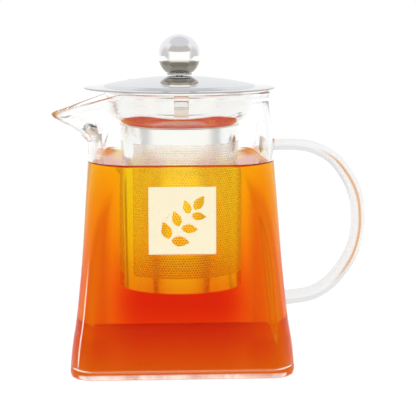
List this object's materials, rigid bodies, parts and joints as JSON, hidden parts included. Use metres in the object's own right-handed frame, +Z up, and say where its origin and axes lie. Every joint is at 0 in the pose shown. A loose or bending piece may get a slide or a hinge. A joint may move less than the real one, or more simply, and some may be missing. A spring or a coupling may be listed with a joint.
{
  "type": "glass teapot",
  "caption": "Glass teapot with a square foot, round mouth, open spout and rod handle, a lift-out steel infuser and a domed steel lid with a ball knob.",
  "frame": {"origin": "middle of the foot on the table", "axes": "+Z up, -X towards the spout, +X towards the handle, -Y towards the front panel"},
  "size_m": [0.1414, 0.0954, 0.1441],
  "materials": {
    "jug_glass": "clear, smooth",
    "handle_glass": "clear, smooth",
    "collar_steel": "bright, smooth",
    "mesh_steel": "etched, fine holes",
    "pan_steel": "bright, smooth",
    "lid_steel": "mirror polished",
    "skirt_steel": "bright, smooth",
    "knob_steel": "mirror polished",
    "seat_steel": "polished",
    "screw_steel": "satin",
    "washer_steel": "satin"
  },
  "bodies": {
    "pot": {"glass_body": "jug_glass", "handle": "handle_glass"},
    "infuser": {"infuser_collar": "collar_steel", "infuser_mesh": "mesh_steel", "infuser_base": "pan_steel"},
    "lid": {"lid_cover": "lid_steel", "lid_skirt": "skirt_steel", "knob_ball": "knob_steel", "knob_seat": "seat_steel", "knob_screw": "screw_steel", "lock_washer": "washer_steel"}
  },
  "joints": [
    {"name": "infuser_lift", "type": "slide", "parent": "pot", "child": "infuser", "axis": [0, 0, 1], "range_m": [0, 0.1]},
    {"name": "lid_lift", "type": "slide", "parent": "infuser", "child": "lid", "axis": [0, 0, 1], "range_m": [0, 0.05]}
  ]
}
